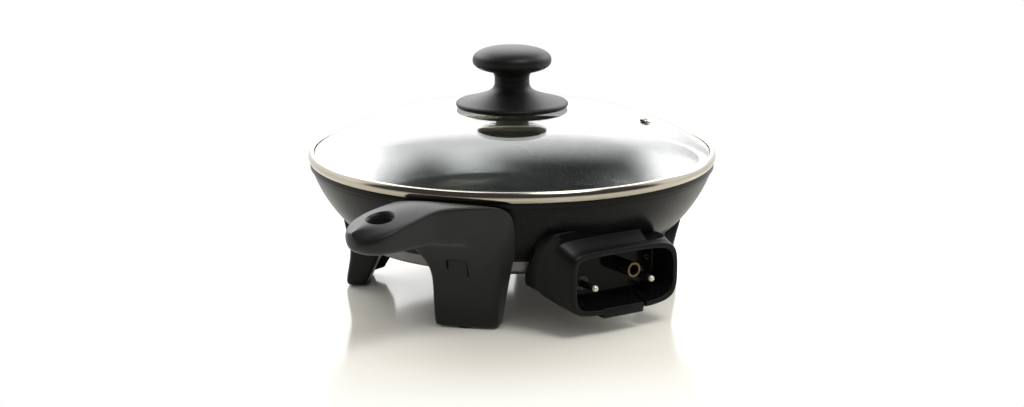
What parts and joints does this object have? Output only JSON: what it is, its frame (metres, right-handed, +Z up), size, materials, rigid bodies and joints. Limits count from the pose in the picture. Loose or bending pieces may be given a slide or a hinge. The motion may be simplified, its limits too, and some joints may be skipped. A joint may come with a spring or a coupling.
{
  "type": "electric skillet",
  "caption": "Round electric skillet with a domed glass lid and knob, swept side handles on moulded legs, and a hooded socket for a plug-in temperature control.",
  "frame": {"origin": "on the pan axis at the table, under the rubber feet", "axes": "+Z up along the pan axis, -Y out of the control socket, -X towards the left handle"},
  "size_m": [0.3674, 0.288, 0.1736],
  "materials": {
    "pan_coating": "dark grey non-stick coating over cast aluminium, satin",
    "cast_aluminium": "bare cast aluminium, dull",
    "element_sheath": "dull oxidised tube",
    "pin_plating": "bright nickel plating",
    "insulator": "dark glazed ceramic",
    "brass": "dull brass",
    "shroud_plastic": "black phenolic, satin outside and glossy inside",
    "handle_plastic": "satin black phenolic",
    "screw_steel": "plain zinc-plated steel",
    "black_screw": "black oxide steel",
    "foot_rubber": "black rubber",
    "lid_glass": "clear tempered glass",
    "band_steel": "polished stainless steel",
    "vent_steel": "polished stainless steel",
    "knob_plastic": "satin black phenolic",
    "gasket_silicone": "translucent pale silicone"
  },
  "bodies": {
    "base": {"pan": "pan_coating", "heater_base": "cast_aluminium", "heating_element": "element_sheath", "terminal_pin_left": "pin_plating", "terminal_pin_right": "pin_plating", "insulator_left": "insulator", "insulator_right": "insulator", "probe_well": "brass", "socket_shroud": "shroud_plastic", "shroud_screws": "black_screw", "left_handle": "handle_plastic", "right_handle": "handle_plastic", "rear_left_leg": "handle_plastic", "front_right_leg": "handle_plastic", "handle_screws": "screw_steel", "tab_screws": "screw_steel", "front_left_foot": "foot_rubber", "front_right_foot": "foot_rubber", "rear_left_foot": "foot_rubber", "rear_right_foot": "foot_rubber"},
    "lid": {"lid_glass": "lid_glass", "lid_band": "band_steel", "steam_vent": "vent_steel", "knob_skirt": "knob_plastic", "knob_cap": "knob_plastic", "knob_insert": "brass", "knob_gasket": "gasket_silicone", "lower_gasket": "gasket_silicone", "knob_washer": "screw_steel", "knob_screw": "screw_steel"}
  },
  "joints": [
    {"name": "lid_lift", "type": "slide", "parent": "base", "child": "lid", "axis": [0, 0, 1], "range_m": [0, 0.12]}
  ]
}
